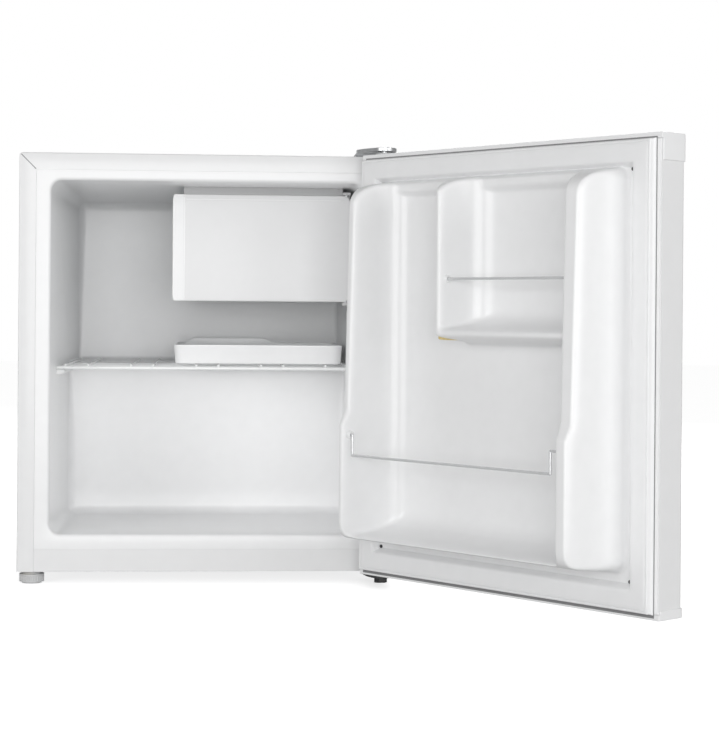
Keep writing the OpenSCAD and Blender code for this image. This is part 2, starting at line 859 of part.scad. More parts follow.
low_plate_t = 3;
low_plate_top = base_z;
low_x0 = half_w - 36;
module bottom_hinge() {
    from_foot() color([0.25, 0.25, 0.26]) difference() {
        translate([0, 0, low_plate_top - low_plate_t]) linear_extrude(low_plate_t)
            polygon(concat([[half_w - 2, bracket_back], [low_x0, bracket_back], [low_x0, -2],
                [low_x0 + 4, pin_y + 6]],
                arc(pin_x, pin_y, half_w - 2 - pin_x, 200, 360, 8)));
        translate([pin_x, pin_y, 0]) cylinder(h = 40, r = pin_r);
        translate([right_foot_x, right_foot_y, 0]) cylinder(h = 40, r = right_stud_r + pin_fit);
        for (p = low_screws) translate([p.x, p.y, 0]) cylinder(h = 40, r = hinge_screw_r);
    }
}

low_bush_flange = door_z0 - base_z - rest_gap;
low_pin_end = door_z0 + bush_depth - 3;
low_screws = [[low_x0 + 6, 22], [low_x0 + 6, 38], [half_w - 10, 36]];
module bottom_hinge_pin() {
    z = low_plate_top - low_plate_t;
    from_foot() color(black) translate([pin_x, pin_y, z]) {
        cylinder(h = low_pin_end - z, r = pin_r);
        translate([0, 0, -6]) cylinder(h = 6, r = 6.5, $fn = 6);
    }
}

module low_screw_holes() {
    for (p = low_screws) translate([p.x, p.y, low_plate_top - low_plate_t])
        cylinder(h = low_plate_t + 8, r = hinge_screw_r);
}

module bottom_hinge_screws() {
    from_foot() color(black) {
        low_screw_holes();
        for (p = low_screws) translate([p.x, p.y, low_plate_top - low_plate_t - 2])
            cylinder(h = 2, r1 = 3.2, r2 = 3.8);
    }
}

// ---- door ----

// swings children, drawn in door coordinates, to where the open door stands
module in_door() {
    translate([pin_x, pin_y, 0]) rotate([0, 0, door_open]) translate([-pin_x, -pin_y, 0])
        translate([half_w, -seal_gap, door_z0]) mirror([1, 0, 0]) children();
}

pin_h = -door_t / 2;
skin_r = 5;
lip_w = 12;
module skin_outline(inset, back) {
    r = skin_r - inset;
    translate([inset, -door_t + inset + r]) square([body_w - 2 * inset, door_t - r - inset + back]);
    translate([inset + r, -door_t + inset]) square([body_w - 2 * inset - 2 * r, door_t - inset + back]);
    for (u = [inset + r, body_w - inset - r]) translate([u, -door_t + inset + r]) circle(r = r);
}

plate_t = 2;
module door_skin() {
    from_foot() color(white) in_door() translate([0, 0, cap_h]) linear_extrude(door_h - 2 * cap_h) {
        difference() {
            skin_outline(0, -plate_t);
            skin_outline(sheet_t, 1);
        }
        // return lips behind the liner's edge
        for (u = [sheet_t, body_w - sheet_t - lip_w])
            translate([u, -plate_t - sheet_t]) square([lip_w, sheet_t]);
    }
}

module bush_seat(z, up) {
    translate([pin_inset, pin_h, z]) mirror([0, 0, up ? 0 : 1])
        translate([0, 0, -bush_depth]) cylinder(h = bush_depth + 5, r = bush_r);
}

bush_r = 7;
module cap_outline() {
    p = cap_proud;
    r = skin_r + p;
    translate([-p, -door_t - p + r]) square([body_w + 2 * p, door_t + p - r]);
    translate([-p + r, -door_t - p]) square([body_w + 2 * p - 2 * r, door_t + p]);
    for (u = [-p + r, body_w + p - r]) translate([u, -door_t - p + r]) circle(r = r);
}

// wraps the skin's free edge below or above the cap
module cap_lug(z, h) {
    translate([0, 0, z]) linear_extrude(h) difference() {
        intersection() {
            cap_outline();
            translate([body_w - lug_u, -door_t - 5]) square([lug_u + 5, door_t + 5 - plate_t]);
        }
        skin_outline(0, 1);
    }
}

lug_u = 20;
top_lug_h = 22;
low_lug_h = 4;
module door_top_cap() {
    from_foot() color(white) in_door() difference() {
        union() {
            translate([0, 0, door_h - cap_h]) linear_extrude(cap_h) cap_outline();
            cap_lug(door_h - cap_h - top_lug_h, top_lug_h);
        }
        bush_seat(door_h, true);
    }
}

module door_bottom_cap() {
    from_foot() color(white) in_door() difference() {
        union() {
            linear_extrude(cap_h) cap_outline();
            cap_lug(cap_h, low_lug_h);
        }
        bush_seat(0, false);
    }
}

module top_bush() {
    from_foot() color(grey) in_door() translate([pin_inset, pin_h, door_h]) difference() {
        union() {
            translate([0, 0, -bush_depth]) cylinder(h = bush_depth, r = bush_r);
            cylinder(h = bush_flange, r = bush_r + 3);
        }
        translate([0, 0, -bush_depth + 2]) cylinder(h = bush_depth + 5, r = pin_r + pin_fit);
    }
}

module bottom_bush() {
    from_foot() color(grey) in_door() translate([pin_inset, pin_h, 0]) difference() {
        union() {
            cylinder(h = bush_depth, r = bush_r);
            translate([0, 0, -low_bush_flange]) cylinder(h = low_bush_flange, r = bush_r + 3);
        }
        translate([0, 0, -5]) cylinder(h = bush_depth + 3, r = pin_r + pin_fit);
    }
}

// ---- door liner ----

// the dykes keep this far inside the mouth
dyke_gap = 4;
dyke_u0 = side_wall + dyke_gap;
dyke_u1 = body_w - side_wall - dyke_gap;
dyke_z0 = mouth_bottom - door_z0 + dyke_gap - 1;
dyke_z1 = mouth_top - door_z0 - dyke_gap + 1;
step_slope = 8;
low_corner = 18;
top_rise = 26;
top_rim = 12;
rim_h = 17;
plan_r = 16;
end_draft = 5;
dyke_t = 3;
crest_w = 9;
free_crest = dyke_u1 - 28;
pocket_top_u = pocket_u + 42;

// side view of the dykes, in height above the gasket plane and height in the door
function dyke_side(inset) = let (low = dyke_low - inset, rim = top_rim - inset) concat(
    [[-plate_t, dyke_z0 + inset]],
    arc(low - low_corner, dyke_z0 + end_draft + low_corner + inset, low_corner, -80, 0, 4),
    [[low, dyke_step - step_slope], [dyke_mid - inset, dyke_step + step_slope]],
    [for (a = [0 : 15 : 90]) [rim + (dyke_up - top_rim) * cos(a),
                              dyke_z1 - 2 - inset - top_rise * (1 - sin(a))]],
    [[-plate_t, dyke_z1 - inset]]);

// plan of the dyke on the hinge side, with its hollow inner wall
function hinge_dyke(inset) = [
    [dyke_u0 + inset, -plate_t], [dyke_u0 + 8 + inset, dyke_low + 1],
    [dyke_u0 + 8 + crest_w - inset, dyke_low + 1], [dyke_u0 + 20 - inset, 52],
    [dyke_u0 + 27 - inset, 30], [dyke_u0 + 38 - inset, 14], [dyke_u0 + 52 - 4 * inset, recess_h - inset],
    [dyke_u0 + 52 - 4 * inset, -plate_t]];

// plan of the dyke on the free side
function free_dyke(inset) = [
    [dyke_u1 - inset, -plate_t], [dyke_u1 - 12 - inset, dyke_low + 1],
    [free_crest + inset, dyke_low + 1], [free_crest - 5 + inset, 50],
    [free_crest - 9 + inset, recess_h + 4], [free_crest - 16 + 3 * inset, recess_h - inset],
    [free_crest - 16 + 3 * inset, -plate_t]];

// plan of the upper pocket's left wall
function pocket_wall(inset) = [
    [pocket_u - 21 + 2 * inset, -plate_t], [pocket_u - 21 + 2 * inset, recess_h - inset],
    [pocket_u - 8 + inset, pocket_h - inset],
    [pocket_u - inset, pocket_h - inset], [pocket_u + 7 - inset, 35], [pocket_u + 21 - inset, 17],
    [pocket_top_u - 4 * inset, recess_h - inset], [pocket_top_u - 4 * inset, -plate_t]];

// the upper pocket's left wall and floor, which meet in a rounded corner
pocket_corner = 20;
pocket_h = 60;
pocket_floor_t = 15;
module pocket_form(inset) {
    intersection() {
        union() {
            linear_extrude(door_h) polygon(pocket_wall(inset));
            along_x(pocket_u - 8 + inset, free_crest + 5) polygon([
                [-plate_t, pocket_z - pocket_floor_t + inset],
                [pocket_h - inset, pocket_z - pocket_floor_t + 4 + inset],
                [pocket_h - inset, pocket_z - inset], [-plate_t, pocket_z - inset]]);
        }
        along_y(-plate_t - 1, dyke_low + 1)
            round_rect([pocket_u - 21 + 2 * inset, pocket_z - pocket_floor_t + inset],
                       [body_w, door_h], pocket_corner - inset);
    }
}

module liner_form(inset) {
    intersection() {
        along_x(dyke_u0 + inset, dyke_u1 - inset) polygon(dyke_side(inset));
        along_y(-plate_t - 1, dyke_low + 1)
            round_rect([dyke_u0 + inset, dyke_z0 + inset], [dyke_u1 - inset, dyke_z1 - inset],
                       plan_r - inset);
        union() {
            linear_extrude(door_h) polygon(hinge_dyke(inset));
            linear_extrude(door_h) polygon(free_dyke(inset));
            pocket_form(inset);
            // low rim that joins the dykes at the top
            along_x(dyke_u0 + inset, dyke_u1 - inset) polygon([
                [-plate_t, dyke_z1 - 19 + inset], [recess_h - inset, dyke_z1 - 19 + inset],
                [rim_h - inset, dyke_z1 - 13 + inset], [rim_h - inset, dyke_z1],
                [-plate_t, dyke_z1]]);
            // back wall
            box([dyke_u0 + inset, -plate_t, 0], [dyke_u1 - inset, recess_h - inset, door_h]);
            // floor of the lower bin
            along_x(dyke_u0 + 10, free_crest + 5) polygon([
                [-plate_t, 0], [dyke_low + 1, 0], [dyke_low + 1, dyke_z0 + 12 - inset],
                [30, dyke_z0 + 13 - inset], [16, dyke_z0 + 19 - inset],
                [recess_h - inset, dyke_z0 + 32 - inset], [-plate_t, dyke_z0 + 32 - inset]]);
        }
    }
}

bail_h = 71;
bail_z = dyke_step - 20;
bail_drop = 23;
bail_u0 = dyke_u0 + 23;
bail_u1 = free_crest - 13;
bail_in = 12;
rail_h_door = 51;
rail_z = pocket_z + 54;
rail_u0 = pocket_u - 3;
rail_u1 = free_crest + 3;

module rail_holes(grow) {
    for (u = [[bail_u0 - bail_in, bail_u0 + 1], [bail_u1 - 1, bail_u1 + bail_in + 6]])
        rod([u[0] - grow, bail_h, bail_z], [u[1] + grow, bail_h, bail_z],
            rail_r + pin_fit + grow);
    rod([rail_u0 - grow, rail_h_door, rail_z], [rail_u1 + grow, rail_h_door, rail_z],
        rail_r + grow);
}

module door_liner() {
    from_foot() color(liner_white) in_door() difference() {
        union() {
            box([0, -plate_t, cap_h], [body_w, 0, door_h - cap_h]);
            liner_form(0);
        }
        liner_form(dyke_t);
        rail_holes(0);
    }
}

module door_foam() {
    from_foot() color(foam_yellow) in_door() difference() {
        union() {
            translate([0, 0, cap_h]) linear_extrude(door_h - 2 * cap_h) difference() {
                skin_outline(sheet_t, -plate_t);
                for (u = [0, body_w - sheet_t - lip_w])
                    translate([u, -plate_t - sheet_t]) square([lip_w + sheet_t, 5]);
            }
            liner_form(dyke_t);
        }
        rail_holes(1);
        bush_seat(door_h, true);
        bush_seat(0, false);
    }
}

gasket_edge = 4;
gasket_h = seal_gap - rest_gap;
bulb_in = 8;
bulb_w = 16;
magnet_w = 10;
magnet_h = 3;
module frame_outline(edge, width) {
    difference() {
        translate([edge, edge]) square([body_w - 2 * edge, door_h - 2 * edge]);
        translate([edge + width, edge + width])
            square([body_w - 2 * (edge + width), door_h - 2 * (edge + width)]);
    }
}

module door_gasket() {
    e = gasket_edge + bulb_in;
    from_foot() color([0.9, 0.9, 0.9]) in_door() {
        difference() {
            union() {
                along_y(0, 3) frame_outline(gasket_edge + 2, gasket_w - 2);
                along_y(3 - EPS, gasket_h) frame_outline(e, bulb_w);
            }
            along_y(gasket_h - 1 - magnet_h, gasket_h - 1)
                frame_outline(e + (bulb_w - magnet_w) / 2, magnet_w);
        }
    }
}

module gasket_magnets() {
    e = gasket_edge + bulb_in + (bulb_w - magnet_w) / 2;
    from_foot() color([0.25, 0.22, 0.2]) in_door()
        along_y(gasket_h - 1 - magnet_h, gasket_h - 1) frame_outline(e, magnet_w);
}

module upper_rail() {
    from_foot() color(zinc) in_door()
        rod([rail_u0, rail_h_door, rail_z], [rail_u1, rail_h_door, rail_z], rail_r);
}

module lower_rail() {
    from_foot() color(zinc) in_door() bar([
        [bail_u0 - bail_in + 1, bail_h, bail_z], [bail_u0, bail_h, bail_z],
        [bail_u0, bail_h, bail_z - bail_drop], [bail_u1, bail_h, bail_z - bail_drop],
        [bail_u1, bail_h, bail_z], [bail_u1 + bail_in + 5, bail_h, bail_z]], rail_r);
}

outer_shell();
front_rail();
bottom_plate();
bay_panel();
back_panel();
base_pan();
inner_liner();
cabinet_foam();
front_left_foot();
front_right_foot();
rear_feet();
freezer_box();
freezer_hangers();
freezer_frame();
freezer_flap();
flap_pins();
thermostat_housing();
thermostat_knob();
wire_shelf();
drip_tray();
compressor();
compressor_mounts();
compressor_bolts();
terminal_cover();
cord_inlet();
condenser_tube();
condenser_wires();
condenser_clips();
filter_drier();
discharge_line();
suction_line();
capillary_line();
top_hinge();
top_hinge_pin();
top_hinge_screws();
bottom_hinge();
bottom_hinge_pin();
bottom_hinge_screws();
door_skin();
door_top_cap();
door_bottom_cap();
door_foam();
door_liner();
door_gasket();
gasket_magnets();
top_bush();
bottom_bush();
upper_rail();
lower_rail();
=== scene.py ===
import json
import math

import bmesh
import bpy
import numpy as np
from mathutils import Matrix, Vector

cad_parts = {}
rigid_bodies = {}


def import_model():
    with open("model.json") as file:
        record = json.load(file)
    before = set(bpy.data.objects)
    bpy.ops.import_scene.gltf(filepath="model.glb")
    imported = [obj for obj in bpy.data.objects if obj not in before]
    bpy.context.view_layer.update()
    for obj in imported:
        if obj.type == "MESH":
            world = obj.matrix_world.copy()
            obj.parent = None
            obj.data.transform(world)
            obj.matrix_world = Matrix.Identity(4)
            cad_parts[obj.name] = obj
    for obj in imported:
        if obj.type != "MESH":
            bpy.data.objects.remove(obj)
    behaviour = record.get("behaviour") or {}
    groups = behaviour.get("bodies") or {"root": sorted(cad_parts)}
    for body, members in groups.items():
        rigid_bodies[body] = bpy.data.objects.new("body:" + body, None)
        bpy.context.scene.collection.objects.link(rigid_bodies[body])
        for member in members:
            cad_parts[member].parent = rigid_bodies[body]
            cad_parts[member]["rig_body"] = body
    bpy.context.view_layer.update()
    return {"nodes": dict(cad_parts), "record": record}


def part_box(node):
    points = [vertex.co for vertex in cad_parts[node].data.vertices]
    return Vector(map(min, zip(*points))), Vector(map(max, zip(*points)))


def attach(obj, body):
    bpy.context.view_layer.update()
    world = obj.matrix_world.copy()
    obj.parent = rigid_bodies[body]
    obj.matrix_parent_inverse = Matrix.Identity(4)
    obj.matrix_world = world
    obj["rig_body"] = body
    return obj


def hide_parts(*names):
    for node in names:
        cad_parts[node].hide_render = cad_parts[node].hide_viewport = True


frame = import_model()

MM = 0.001
NODES = frame["nodes"]

# ---- sizes shared with the CAD, in millimetres ----
# lengths below are drawn about the middle of the cabinet's front, which stands at MIDDLE
SHELL_LOW, SHELL_HIGH = [tuple(c / MM for c in v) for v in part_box("outer_shell")]
MIDDLE = Vector(((SHELL_LOW[0] + SHELL_HIGH[0]) / 2, SHELL_LOW[1], 0))
HALF_W = (SHELL_HIGH[0] - SHELL_LOW[0]) / 2
BASE_Z, TOP_Z = SHELL_LOW[2], SHELL_HIGH[2]
BODY_D = SHELL_HIGH[1] - SHELL_LOW[1]
FLANGE_W = 20.0
RAIL_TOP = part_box("front_rail")[1].z / MM
MOUTH_HALF = HALF_W - 36.0
MOUTH_LOW = BASE_Z + 43.0
MOUTH_HIGH = TOP_Z - 31.0
CAVITY_D = BODY_D - 42.0
DRAFT = 8.0
HUMP_Y = 225.0
HUMP_Z = BASE_Z + 238.0
PIN = (HALF_W - 15.0, -29.5)
DOOR_W, DOOR_H = 440.0, 488.0
SEAL_GAP = 10.0
DOOR_Z = BASE_Z + 1.0
DOOR_OPEN = math.radians(128.0)


# ---- materials ----

def node_setup(name):
    mat = bpy.data.materials.new(name)
    mat.use_nodes = True
    tree = mat.node_tree
    return mat, tree, tree.nodes["Principled BSDF"]


def surface(name, color, rough, vary=0.03, grain=60.0, rough_vary=0.06, bump=0.0,
            bump_scale=900.0, metallic=0.0, coat=0.0, specular=0.5, stretch=(1, 1, 1)):
    """A moulded, painted or metal surface: colour and gloss that drift a little, and a fine skin."""
    mat, tree, bsdf = node_setup(name)
    new, link = tree.nodes.new, tree.links.new
    coord = new("ShaderNodeTexCoord")
    mapping = new("ShaderNodeMapping")
    mapping.inputs["Scale"].default_value = stretch
    link(coord.outputs["Object"], mapping.inputs["Vector"])
    drift = new("ShaderNodeTexNoise")
    drift.inputs["Scale"].default_value = grain
    drift.inputs["Detail"].default_value = 4.0
    link(mapping.outputs["Vector"], drift.inputs["Vector"])
    ramp = new("ShaderNodeValToRGB")
    ramp.color_ramp.elements[0].position = 0.3
    ramp.color_ramp.elements[1].position = 0.7
    ramp.color_ramp.elements[0].color = (*[c * (1 - vary) for c in color], 1)
    ramp.color_ramp.elements[1].color = (*[min(1, c * (1 + vary * 0.4)) for c in color], 1)
    link(drift.outputs["Fac"], ramp.inputs["Fac"])
    link(ramp.outputs["Color"], bsdf.inputs["Base Color"])
    span = new("ShaderNodeMapRange")
    span.inputs["To Min"].default_value = max(0.02, rough - rough_vary)
    span.inputs["To Max"].default_value = min(1.0, rough + rough_vary)
    link(drift.outputs["Fac"], span.inputs["Value"])
    link(span.outputs["Result"], bsdf.inputs["Roughness"])
    bsdf.inputs["Metallic"].default_value = metallic
    bsdf.inputs["Coat Weight"].default_value = coat
    bsdf.inputs["Coat Roughness"].default_value = 0.12
    bsdf.inputs["Specular IOR Level"].default_value = specular
    if bump:
        skin = new("ShaderNodeTexNoise")
        skin.inputs["Scale"].default_value = bump_scale
        skin.inputs["Detail"].default_value = 2.0
        link(mapping.outputs["Vector"], skin.inputs["Vector"])
        relief = new("ShaderNodeBump")
        relief.inputs["Strength"].default_value = bump
        relief.inputs["Distance"].default_value = 0.0004
        link(skin.outputs["Fac"], relief.inputs["Height"])
        link(relief.outputs["Normal"], bsdf.inputs["Normal"])
    return mat


MATS = {
    "white_steel": surface("painted_steel", (0.83, 0.832, 0.835), 0.34, vary=0.012, bump=0.10,
                           bump_scale=420.0, coat=0.25),
    "liner_plastic": surface("liner_sheet", (0.89, 0.893, 0.897), 0.32, vary=0.014, bump=0.05,
                             bump_scale=260.0, coat=0.2),
    "white_plastic": surface("white_moulding", (0.88, 0.883, 0.887), 0.32, vary=0.012, bump=0.05,
                             bump_scale=700.0),
    "gasket_vinyl": surface("gasket_vinyl", (0.87, 0.873, 0.878), 0.5, vary=0.015, bump=0.12,
                            bump_scale=1200.0),
    "magnet_strip": surface("magnet_strip", (0.06, 0.05, 0.05), 0.8, vary=0.1),
    "white_wire": surface("coated_wire", (0.85, 0.86, 0.86), 0.25, vary=0.02),
    "rail_wire": surface("rail_wire", (0.74, 0.75, 0.76), 0.22, vary=0.04, metallic=0.35),
    "zinc_steel": surface("zinc_steel", (0.62, 0.63, 0.64), 0.34, vary=0.14, grain=220.0,
                          metallic=0.85, bump=0.1),
    "dark_steel": surface("dark_steel", (0.05, 0.05, 0.052), 0.42, vary=0.1, metallic=0.5, bump=0.1),
    "black_steel": surface("black_steel", (0.016, 0.016, 0.017), 0.38, vary=0.2, bump=0.15),
    "grey_plastic": surface("grey_moulding", (0.60, 0.605, 0.61), 0.42, vary=0.05, bump=0.15),
    "black_plastic": surface("black_moulding", (0.02, 0.02, 0.022), 0.45, vary=0.1, bump=0.2),
    "black_rubber": surface("black_rubber", (0.018, 0.018, 0.018), 0.75, vary=0.15, bump=0.3),
    "foam": surface("foam", (0.72, 0.58, 0.28), 0.9, vary=0.15, grain=300.0, bump=0.6),
    "ice_box_aluminium": surface("ice_box_aluminium", (0.66, 0.69, 0.70), 0.36, vary=0.06,
                                 metallic=0.9, grain=160.0, bump=0.08),
    "copper_tube": surface("copper_tube", (0.66, 0.32, 0.19), 0.3, vary=0.12, metallic=1.0),
}


def painted_backlight(mat, x, low, high):
    """Makes a material's colour lighter to the left of x: painted light, as if light shone through the
    moulding where it is thin.
    """
    tree = mat.node_tree
    bsdf = tree.nodes["Principled BSDF"]
    source = bsdf.inputs["Base Color"].links[0].from_socket
    coord = tree.nodes.new("ShaderNodeTexCoord")
    split = tree.nodes.new("ShaderNodeSeparateXYZ")
    tree.links.new(coord.outputs["Object"], split.inputs["Vector"])
    span = tree.nodes.new("ShaderNodeMapRange")
    span.inputs["From Min"].default_value = x - 0.002
    span.inputs["From Max"].default_value = x + 0.002
    span.inputs["To Min"].default_value = high
    span.inputs["To Max"].default_value = low
    tree.links.new(split.outputs["X"], span.inputs["Value"])
    tone = tree.nodes.new("ShaderNodeVectorMath")
    tone.operation = "SCALE"
    tree.links.new(source, tone.inputs[0])
    tree.links.new(span.outputs["Result"], tone.inputs["Scale"])
    tree.links.new(tone.outputs["Vector"], bsdf.inputs["Base Color"])
    return mat


SLOT_OF = {s["node"]: s["material_slot"] for s in frame["record"]["subparts"]}
# A dark sheet painted as the shadow in the gap outside the door's gasket.
GASKET_GAP_SHADOW = surface("gap_shadow", (0.24, 0.24, 0.245), 0.8, vary=0.1)
SEAM = surface("seam_shadow", (0.36, 0.36, 0.37), 0.7, vary=0.1)
# The flap's colour is darker than the white moulding as painted shade; its thin left lip is made
# lighter again as painted light showing through it.
FLAP = painted_backlight(surface("flap_painted_shade", (0.74, 0.742, 0.746), 0.34, vary=0.012, bump=0.05,
                        bump_scale=700.0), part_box("freezer_flap")[0].x + 0.014, 0.95, 1.08)


# ---- mesh helpers; points are in millimetres ----

# a block of four points at one depth and the same four at the next
BOX_FACES = ((0, 1, 2, 3), (7, 6, 5, 4), (0, 4, 5, 1), (1, 5, 6, 2), (2, 6, 7, 3), (3, 7, 4, 0))


def add_piece(name, points, faces, slot, body, replaces=(), smooth=35.0, place=None, mat=None):
    """A mesh piece from points in millimetres, shaded smooth except over edges sharper than smooth."""
    mesh = bpy.data.meshes.new(name)
    pts = [place(*p) if place else p for p in points]
    mesh.from_pydata([(Vector(p) + MIDDLE) * MM for p in pts], [], faces)
    bm = bmesh.new()
    bm.from_mesh(mesh)
    bmesh.ops.remove_doubles(bm, verts=bm.verts, dist=1e-6)
    bmesh.ops.dissolve_degenerate(bm, edges=bm.edges, dist=1e-7)
    bmesh.ops.recalc_face_normals(bm, faces=bm.faces)
    bm.to_mesh(mesh)
    bm.free()
    return finish_piece(name, mesh, slot, body, replaces, smooth, mat)


def finish_piece(name, mesh, slot, body, replaces=(), smooth=35.0, mat=None):
    for poly in mesh.polygons:
        poly.use_smooth = True
    mesh.set_sharp_from_angle(angle=math.radians(smooth))
    obj = bpy.data.objects.new(name, mesh)
    bpy.context.scene.collection.objects.link(obj)
    mesh.materials.clear()
    mesh.materials.append(mat or MATS[slot])
    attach(obj, body)
    if replaces:
        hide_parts(*replaces)
    return obj


def cad_box(node):
    """A node's box in millimetres about the middle of the cabinet's front."""
    return [tuple(Vector(v) / MM - MIDDLE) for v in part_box(node)]


def in_door(u, h, z):
    """Door coordinates, as in the CAD, to the row frame with the door standing open."""
    dx, dy = HALF_W - u - PIN[0], -SEAL_GAP + h - PIN[1]
    c, s = math.cos(DOOR_OPEN), math.sin(DOOR_OPEN)
    return PIN[0] + dx * c - dy * s, PIN[1] + dx * s + dy * c, DOOR_Z + z


def rounded_rect(x0, z0, x1, z1, r, n=8):
    """Outline points with outward normals, anticlockwise in x and z."""
    out = []
    for cx, cz, start in ((x1 - r, z0 + r, -90), (x1 - r, z1 - r, 0),
                          (x0 + r, z1 - r, 90), (x0 + r, z0 + r, 180)):
        for k in range(n + 1):
            a = math.radians(start + 90 * k / n)
            out.append((cx + r * math.cos(a), cz + r * math.sin(a), math.cos(a), math.sin(a)))
    return out


def bridge(rings, closed=True, caps=True):
    """Faces over rings of equal length, numbered in order."""
    n = len(rings[0])
    faces = []
    for r in range(len(rings) - 1):
        for k in range(n if closed else n - 1):
            m = (k + 1) % n
            faces.append((r * n + k, r * n + m, (r + 1) * n + m, (r + 1) * n + k))
    if caps:
        faces.append(tuple(range(n))[::-1])
        faces.append(tuple((len(rings) - 1) * n + k for k in range(n)))
    return [p for ring in rings for p in ring], faces


def slab(outline, y0, y1, ease, steps=4):
    """Rings of an outline with normals, extruded from y0 to y1 with rounded edges."""
    rings = []
    for k in range(steps + 1):
        a = math.pi / 2 * k / steps
        inset, y = ease * (1 - math.sin(a)), y0 + ease * (1 - math.cos(a))
        rings.append([(x - nx * inset, y, z - nz * inset) for x, z, nx, nz in outline])
    for k in range(steps, -1, -1):
        a = math.pi / 2 * k / steps
        inset, y = ease * (1 - math.sin(a)), y1 - ease * (1 - math.cos(a))
        rings.append([(x - nx * inset, y, z - nz * inset) for x, z, nx, nz in outline])
    return rings


def eased(node, width, segments=2, limit=30.0, name=None, body=None, mat=None):
    """The CAD node again with its edges rounded over by width, in millimetres."""
    mesh = NODES[node].data.copy()
    if "custom_normal" in mesh.attributes:
        mesh.attributes.remove(mesh.attributes["custom_normal"])
    bm = bmesh.new()
    bm.from_mesh(mesh)
    bmesh.ops.remove_doubles(bm, verts=bm.verts, dist=2e-6)
    bmesh.ops.dissolve_limit(bm, angle_limit=math.radians(0.4), verts=bm.verts, edges=bm.edges)
    bm.to_mesh(mesh)
    bm.free()
    obj = finish_piece(name or node + "_eased", mesh, SLOT_OF[node], body or NODES[node]["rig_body"],
                       (node,), 35.0, mat)
    bevel = obj.modifiers.new("edge", "BEVEL")
    bevel.width = width * MM
    bevel.segments = segments
    bevel.limit_method = "ANGLE"
    bevel.angle_limit = math.radians(limit)
    bevel.harden_normals = True


# ---- cabinet shell ----

def shell_ring(s, y):
    """The shell's outline moved in by s, from the left foot over the top to the right foot."""
    r = 4.0
    pts = [(-HALF_W + s, BASE_Z)]
    for cx, start in ((-HALF_W + r, 180), (HALF_W - r, 90)):
        for k in range(7):
            a = math.radians(start - 90 * k / 6)
            rr = max(0.0, r - s)
            far = max(0.0, s - r)
            px = cx + rr * math.cos(a) + (far if cx < 0 else -far)
            pts.append((px, TOP_Z - r - far + rr * math.sin(a)))
    pts.append((HALF_W - s, BASE_Z))
    return [(x, y, z) for x, z in pts]


def make_shell():
    """The folded steel wrap, with its front edge rolled over into the flange."""
    edge = 1.6
    profile = [(0.0, BODY_D)]
    for k in range(5):
        a = math.pi / 2 * k / 4
        profile.append((edge * (1 - math.cos(a)), edge * (1 - math.sin(a))))
    profile += [(FLANGE_W - 0.5, 0.0), (FLANGE_W - 0.15, 0.15), (FLANGE_W, 0.5), (FLANGE_W, 1.0),
                (edge, 1.0), (1.0, edge), (1.0, BODY_D), (0.0, BODY_D)]
    rings = [shell_ring(s, y) for s, y in profile]
    points, faces = bridge(rings, closed=False, caps=False)
    n = len(rings[0])
    for col in (0, n - 1):
        faces.append(tuple(r * n + col for r in range(len(rings) - 1)))
    add_piece("cabinet_shell", points, faces, "white_steel", "cabinet", ("outer_shell",), 30.0)


SEAM_W = 0.8


def make_flange_seams():
    """The dark joint between the steel and the liner's flange."""
    points, faces = [], []
    x, z0, z1, g = HALF_W - FLANGE_W, RAIL_TOP, TOP_Z - FLANGE_W, SEAM_W
    for a, b in (((-x, z0 + g), (-x + g, z1)), ((x - g, z0 + g), (x, z1)),
                 ((-x, z0), (x, z0 + g)), ((-x + g, z1 - g), (x - g, z1))):
        base = len(points)
        for y in (-0.04, 0.5):
            points += [(a[0], y, a[1]), (b[0], y, a[1]), (b[0], y, b[1]), (a[0], y, b[1])]
        faces += [tuple(base + i for i in f) for f in BOX_FACES]
    add_piece("flange_seams", points, faces, "white_steel", "cabinet", mat=SEAM)


def make_mitre_seams():
    """The open joint of the flange at its two upper corners."""
    points, faces = [], []
    half_wide, start, end = 0.42, 2.2, FLANGE_W - 0.6
    for side in (-1, 1):
        w = half_wide * side
        (ax, az), (bx, bz) = [(side * (HALF_W - t), TOP_Z - t) for t in (start, end)]
        base = len(points)
        for y in (-0.05, 0.3):
            points += [(ax - half_wide, y, az + w), (ax + half_wide, y, az - w),
                       (bx + half_wide, y, bz - w), (bx - half_wide, y, bz + w)]
        faces += [tuple(base + i for i in f) for f in BOX_FACES]
    add_piece("mitre_seams", points, faces, "white_steel", "cabinet", mat=SEAM)


# ---- cabinet liner ----

def wall_x(y):
    return MOUTH_HALF - DRAFT * y / CAVITY_D


def arc_points(cx, cy, r, a0, a1, n, inward):
    """Points on an arc with the direction into the cavity."""
    out = []
    for k in range(n + 1):
        a = math.radians(a0 + (a1 - a0) * k / n)
        c, s = math.cos(a), math.sin(a)
        out.append((cx + r * c, cy + r * s, inward * c, inward * s))
    return out


LIP = 2.5
SIDE_R = 12.5
LEDGE_R = 5.5
EDGE_R = 6.5


